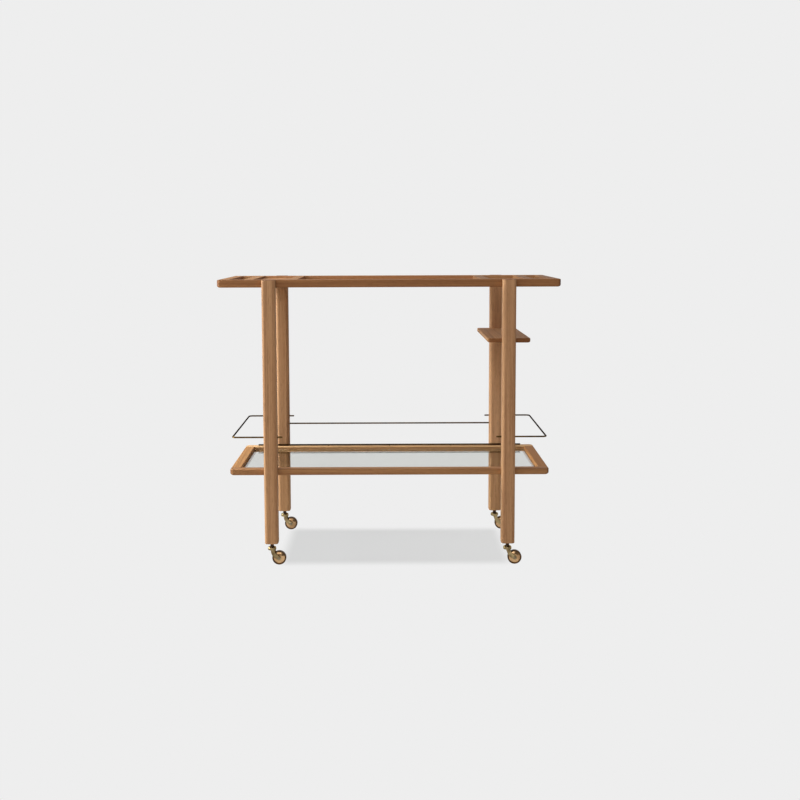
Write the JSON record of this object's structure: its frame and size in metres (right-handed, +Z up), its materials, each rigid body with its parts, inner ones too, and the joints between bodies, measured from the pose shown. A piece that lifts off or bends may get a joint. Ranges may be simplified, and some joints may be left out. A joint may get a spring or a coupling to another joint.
{
  "type": "bar cart",
  "caption": "Wooden bar cart with a framed tray top, an open bay over a small bottle shelf, a glazed lower shelf with thin brass guard rails, and swivelling brass casters.",
  "frame": {"origin": "on the floor, at the middle of the cart", "axes": "+Z up, +X along the cart to the end that has the bottle shelf, -Y to the front"},
  "size_m": [1.068, 0.43, 0.9],
  "materials": {
    "oiled_wood": "oiled, fine straight grain",
    "panel_veneer": "oiled veneer",
    "clear_glass": "polished",
    "clear_pad": "clear soft pad",
    "polished_brass": "polished",
    "cast_brass": "aged, lightly polished",
    "dark_steel": "dark, satin",
    "beech_dowel": "plain"
  },
  "bodies": {
    "cart_frame": {"top_front_rail": "oiled_wood", "top_back_rail": "oiled_wood", "top_left_end_rail": "oiled_wood", "top_right_end_rail": "oiled_wood", "left_outer_cross_rail": "oiled_wood", "left_inner_cross_rail": "oiled_wood", "right_inner_cross_rail": "oiled_wood", "right_outer_cross_rail": "oiled_wood", "front_left_leg": "oiled_wood", "front_right_leg": "oiled_wood", "back_left_leg": "oiled_wood", "back_right_leg": "oiled_wood", "shelf_front_rail": "oiled_wood", "shelf_back_rail": "oiled_wood", "shelf_left_rail": "oiled_wood", "shelf_right_rail": "oiled_wood", "bottle_shelf": "oiled_wood", "centre_panel": "panel_veneer", "left_bay_panel": "panel_veneer", "shelf_glass": "clear_glass", "glass_pads": "clear_pad", "left_guard_rail": "polished_brass", "right_guard_rail": "polished_brass", "back_guard_rod": "polished_brass", "back_stop_rod": "polished_brass", "stop_rod_screws": "polished_brass", "top_dowels": "beech_dowel", "shelf_dowels": "beech_dowel", "bottle_shelf_dowels": "beech_dowel", "front_left_caster_socket": "dark_steel", "front_right_caster_socket": "dark_steel", "back_left_caster_socket": "dark_steel", "back_right_caster_socket": "dark_steel"},
    "front_left_swivel_body": {"front_left_caster_stem": "dark_steel", "front_left_caster_fork": "cast_brass", "front_left_caster_axle": "dark_steel"},
    "front_left_wheel_body": {"front_left_caster_wheel": "cast_brass"},
    "front_right_swivel_body": {"front_right_caster_stem": "dark_steel", "front_right_caster_fork": "cast_brass", "front_right_caster_axle": "dark_steel"},
    "front_right_wheel_body": {"front_right_caster_wheel": "cast_brass"},
    "back_left_swivel_body": {"back_left_caster_stem": "dark_steel", "back_left_caster_fork": "cast_brass", "back_left_caster_axle": "dark_steel"},
    "back_left_wheel_body": {"back_left_caster_wheel": "cast_brass"},
    "back_right_swivel_body": {"back_right_caster_stem": "dark_steel", "back_right_caster_fork": "cast_brass", "back_right_caster_axle": "dark_steel"},
    "back_right_wheel_body": {"back_right_caster_wheel": "cast_brass"}
  },
  "joints": [
    {"name": "front_left_swivel", "type": "hinge", "parent": "cart_frame", "child": "front_left_swivel_body", "pos_m": [-0.372, -0.194, 0.06], "axis": [0, 0, 1], "continuous": true},
    {"name": "front_left_roll", "type": "hinge", "parent": "front_left_swivel_body", "child": "front_left_wheel_body", "pos_m": [-0.3495, -0.194, 0.022], "axis": [0, 1, 0], "continuous": true},
    {"name": "front_right_swivel", "type": "hinge", "parent": "cart_frame", "child": "front_right_swivel_body", "pos_m": [0.372, -0.194, 0.06], "axis": [0, 0, 1], "continuous": true},
    {"name": "front_right_roll", "type": "hinge", "parent": "front_right_swivel_body", "child": "front_right_wheel_body", "pos_m": [0.3945, -0.194, 0.022], "axis": [0, 1, 0], "continuous": true},
    {"name": "back_left_swivel", "type": "hinge", "parent": "cart_frame", "child": "back_left_swivel_body", "pos_m": [-0.372, 0.194, 0.06], "axis": [0, 0, 1], "continuous": true},
    {"name": "back_left_roll", "type": "hinge", "parent": "back_left_swivel_body", "child": "back_left_wheel_body", "pos_m": [-0.3495, 0.194, 0.022], "axis": [0, 1, 0], "continuous": true},
    {"name": "back_right_swivel", "type": "hinge", "parent": "cart_frame", "child": "back_right_swivel_body", "pos_m": [0.372, 0.194, 0.06], "axis": [0, 0, 1], "continuous": true},
    {"name": "back_right_roll", "type": "hinge", "parent": "back_right_swivel_body", "child": "back_right_wheel_body", "pos_m": [0.3945, 0.194, 0.022], "axis": [0, 1, 0], "continuous": true}
  ]
}
